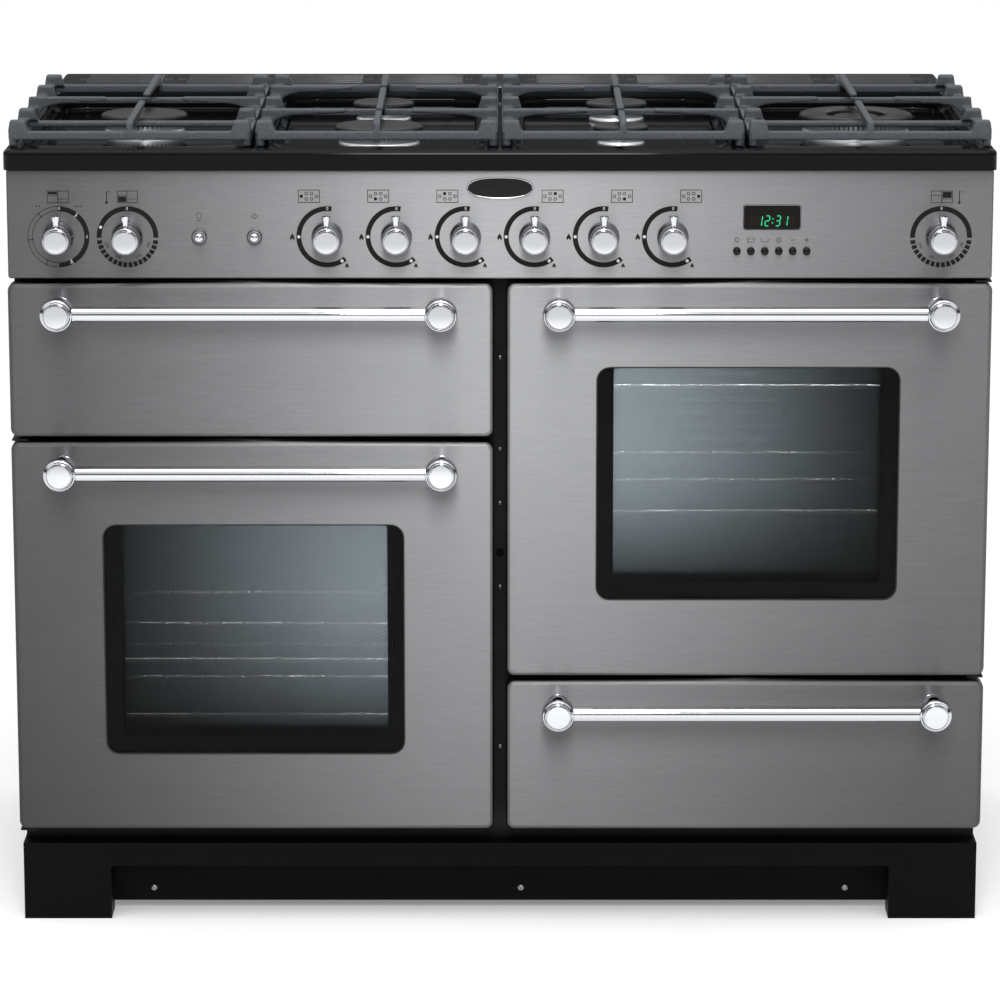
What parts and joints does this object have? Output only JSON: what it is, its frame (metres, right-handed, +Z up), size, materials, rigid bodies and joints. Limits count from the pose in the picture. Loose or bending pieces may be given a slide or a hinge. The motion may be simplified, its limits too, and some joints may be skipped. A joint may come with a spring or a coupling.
{
  "type": "range cooker",
  "caption": "Wide range cooker with two side-hung ovens, drop-down grill door, storage drawer, knob panel, gas hotplate with lift-off pan supports and a rear flue trim.",
  "frame": {"origin": "middle of the overall box, on the floor under the plinth and feet", "axes": "+Z up, -Y towards the front with the doors and controls, +X to the right as seen from the front"},
  "size_m": [1.1, 0.658, 0.921],
  "materials": {
    "stainless": "horizontal brushed grain",
    "chrome": "polished",
    "black_paint": "satin",
    "side_paint": "satin",
    "zinc_sheet": "dull zinc plate",
    "dark_enamel": "semi-gloss enamel",
    "oven_enamel": "gloss enamel",
    "gloss_enamel": "gloss enamel",
    "cap_enamel": "satin enamel",
    "pan_support_iron": "satin enamelled casting",
    "burner_aluminium": "cast",
    "vent_steel": "satin",
    "rail_steel": "plain tube",
    "control_steel": "plated",
    "element_steel": "oxidised sheath",
    "rack_chrome": "plated wire",
    "brass_fitting": "machined",
    "seal_rubber": "matt",
    "button_plastic": "gloss",
    "door_glass": "tinted, toughened",
    "clock_glass": "dark tinted"
  },
  "bodies": {
    "cabinet": {"plinth": "black_paint", "base_pan": "zinc_sheet", "levelling_feet": "zinc_sheet", "casing_panels": "side_paint", "front_frame": "dark_enamel", "door_seals": "seal_rubber", "hinge_brackets": "zinc_sheet", "oven_liners": "oven_enamel", "grill_liner": "oven_enamel", "oven_racks": "rack_chrome", "fan_cover": "oven_enamel", "fan_motor": "zinc_sheet", "heating_elements": "element_steel", "grill_pan": "oven_enamel", "hotplate": "gloss_enamel", "burner_crowns": "burner_aluminium", "burner_caps": "cap_enamel", "rear_vent_trim": "vent_steel", "control_panel": "stainless", "gas_rail": "rail_steel", "electrical_controls": "control_steel", "clock_display": "clock_glass", "rear_connections": "brass_fitting", "drawer_runners": "zinc_sheet"},
    "left_oven_door": {"left_oven_door_skin": "stainless", "left_oven_door_glass": "door_glass", "left_oven_door_inner": "oven_enamel", "left_oven_door_handle": "chrome"},
    "right_oven_door": {"right_oven_door_skin": "stainless", "right_oven_door_glass": "door_glass", "right_oven_door_inner": "oven_enamel", "right_oven_door_handle": "chrome"},
    "grill_door": {"grill_door_skin": "stainless", "grill_door_inner": "oven_enamel", "grill_door_handle": "chrome"},
    "storage_drawer": {"storage_drawer_front": "stainless", "storage_drawer_tray": "zinc_sheet", "storage_drawer_handle": "chrome"},
    "grill_knob": {"grill_knob": "chrome"},
    "left_oven_knob": {"left_oven_knob": "chrome"},
    "right_oven_knob": {"right_oven_knob": "chrome"},
    "gas_knob_1": {"gas_knob_1": "chrome"},
    "gas_knob_2": {"gas_knob_2": "chrome"},
    "gas_knob_3": {"gas_knob_3": "chrome"},
    "gas_knob_4": {"gas_knob_4": "chrome"},
    "gas_knob_5": {"gas_knob_5": "chrome"},
    "gas_knob_6": {"gas_knob_6": "chrome"},
    "light_button": {"light_button": "chrome"},
    "ignition_button": {"ignition_button": "chrome"},
    "clock_button_1": {"clock_button_1": "button_plastic"},
    "clock_button_2": {"clock_button_2": "button_plastic"},
    "clock_button_3": {"clock_button_3": "button_plastic"},
    "clock_button_4": {"clock_button_4": "button_plastic"},
    "clock_button_5": {"clock_button_5": "button_plastic"},
    "clock_button_6": {"clock_button_6": "button_plastic"},
    "pan_support_1": {"pan_support_1": "pan_support_iron"},
    "pan_support_2": {"pan_support_2": "pan_support_iron"},
    "pan_support_3": {"pan_support_3": "pan_support_iron"},
    "pan_support_4": {"pan_support_4": "pan_support_iron"},
    "oven_fan": {"oven_fan": "burner_aluminium"}
  },
  "joints": [
    {"name": "left_oven_door_hinge", "type": "hinge", "parent": "cabinet", "child": "left_oven_door", "pos_m": [-0.538, -0.259, 0.337], "axis": [0, 0, -1], "range_deg": [0, 105]},
    {"name": "right_oven_door_hinge", "type": "hinge", "parent": "cabinet", "child": "right_oven_door", "pos_m": [0.538, -0.259, 0.517], "axis": [0, 0, 1], "range_deg": [0, 105]},
    {"name": "grill_door_hinge", "type": "hinge", "parent": "cabinet", "child": "grill_door", "pos_m": [-0.2775, -0.259, 0.584], "axis": [1, 0, 0], "range_deg": [0, 90]},
    {"name": "storage_drawer_slide", "type": "slide", "parent": "cabinet", "child": "storage_drawer", "axis": [0, -1, 0], "range_m": [0, 0.38]},
    {"name": "grill_knob_turn", "type": "hinge", "parent": "cabinet", "child": "grill_knob", "pos_m": [-0.49, -0.267, 0.794], "axis": [0, -1, 0], "range_deg": [-150, 150]},
    {"name": "left_oven_knob_turn", "type": "hinge", "parent": "cabinet", "child": "left_oven_knob", "pos_m": [-0.4135, -0.267, 0.794], "axis": [0, -1, 0], "range_deg": [-270, 0]},
    {"name": "right_oven_knob_turn", "type": "hinge", "parent": "cabinet", "child": "right_oven_knob", "pos_m": [0.4895, -0.267, 0.794], "axis": [0, -1, 0], "range_deg": [-270, 0]},
    {"name": "gas_knob_1_turn", "type": "hinge", "parent": "cabinet", "child": "gas_knob_1", "pos_m": [-0.19175, -0.267, 0.794], "axis": [0, -1, 0], "range_deg": [0, 210]},
    {"name": "gas_knob_2_turn", "type": "hinge", "parent": "cabinet", "child": "gas_knob_2", "pos_m": [-0.11505, -0.267, 0.794], "axis": [0, -1, 0], "range_deg": [0, 210]},
    {"name": "gas_knob_3_turn", "type": "hinge", "parent": "cabinet", "child": "gas_knob_3", "pos_m": [-0.03835, -0.267, 0.794], "axis": [0, -1, 0], "range_deg": [0, 210]},
    {"name": "gas_knob_4_turn", "type": "hinge", "parent": "cabinet", "child": "gas_knob_4", "pos_m": [0.03835, -0.267, 0.794], "axis": [0, -1, 0], "range_deg": [0, 210]},
    {"name": "gas_knob_5_turn", "type": "hinge", "parent": "cabinet", "child": "gas_knob_5", "pos_m": [0.11505, -0.267, 0.794], "axis": [0, -1, 0], "range_deg": [0, 210]},
    {"name": "gas_knob_6_turn", "type": "hinge", "parent": "cabinet", "child": "gas_knob_6", "pos_m": [0.19175, -0.267, 0.794], "axis": [0, -1, 0], "range_deg": [0, 210]},
    {"name": "light_button_press", "type": "slide", "parent": "cabinet", "child": "light_button", "axis": [0, 1, 0], "range_m": [0, 0.003], "stiffness_N_per_m": 400, "springref_m": -0.001},
    {"name": "ignition_button_press", "type": "slide", "parent": "cabinet", "child": "ignition_button", "axis": [0, 1, 0], "range_m": [0, 0.003], "stiffness_N_per_m": 400, "springref_m": -0.001},
    {"name": "clock_button_1_press", "type": "slide", "parent": "cabinet", "child": "clock_button_1", "axis": [0, 1, 0], "range_m": [0, 0.0015], "stiffness_N_per_m": 300, "springref_m": -0.001},
    {"name": "clock_button_2_press", "type": "slide", "parent": "cabinet", "child": "clock_button_2", "axis": [0, 1, 0], "range_m": [0, 0.0015], "stiffness_N_per_m": 300, "springref_m": -0.001},
    {"name": "clock_button_3_press", "type": "slide", "parent": "cabinet", "child": "clock_button_3", "axis": [0, 1, 0], "range_m": [0, 0.0015], "stiffness_N_per_m": 300, "springref_m": -0.001},
    {"name": "clock_button_4_press", "type": "slide", "parent": "cabinet", "child": "clock_button_4", "axis": [0, 1, 0], "range_m": [0, 0.0015], "stiffness_N_per_m": 300, "springref_m": -0.001},
    {"name": "clock_button_5_press", "type": "slide", "parent": "cabinet", "child": "clock_button_5", "axis": [0, 1, 0], "range_m": [0, 0.0015], "stiffness_N_per_m": 300, "springref_m": -0.001},
    {"name": "clock_button_6_press", "type": "slide", "parent": "cabinet", "child": "clock_button_6", "axis": [0, 1, 0], "range_m": [0, 0.0015], "stiffness_N_per_m": 300, "springref_m": -0.001},
    {"name": "pan_support_1_lift", "type": "slide", "parent": "cabinet", "child": "pan_support_1", "axis": [0, 0, 1], "range_m": [0, 0.12]},
    {"name": "pan_support_2_lift", "type": "slide", "parent": "cabinet", "child": "pan_support_2", "axis": [0, 0, 1], "range_m": [0, 0.12]},
    {"name": "pan_support_3_lift", "type": "slide", "parent": "cabinet", "child": "pan_support_3", "axis": [0, 0, 1], "range_m": [0, 0.12]},
    {"name": "pan_support_4_lift", "type": "slide", "parent": "cabinet", "child": "pan_support_4", "axis": [0, 0, 1], "range_m": [0, 0.12]},
    {"name": "oven_fan_spin", "type": "hinge", "parent": "cabinet", "child": "oven_fan", "pos_m": [0.2775, 0.175, 0.5175], "axis": [0, 1, 0], "continuous": true}
  ]
}
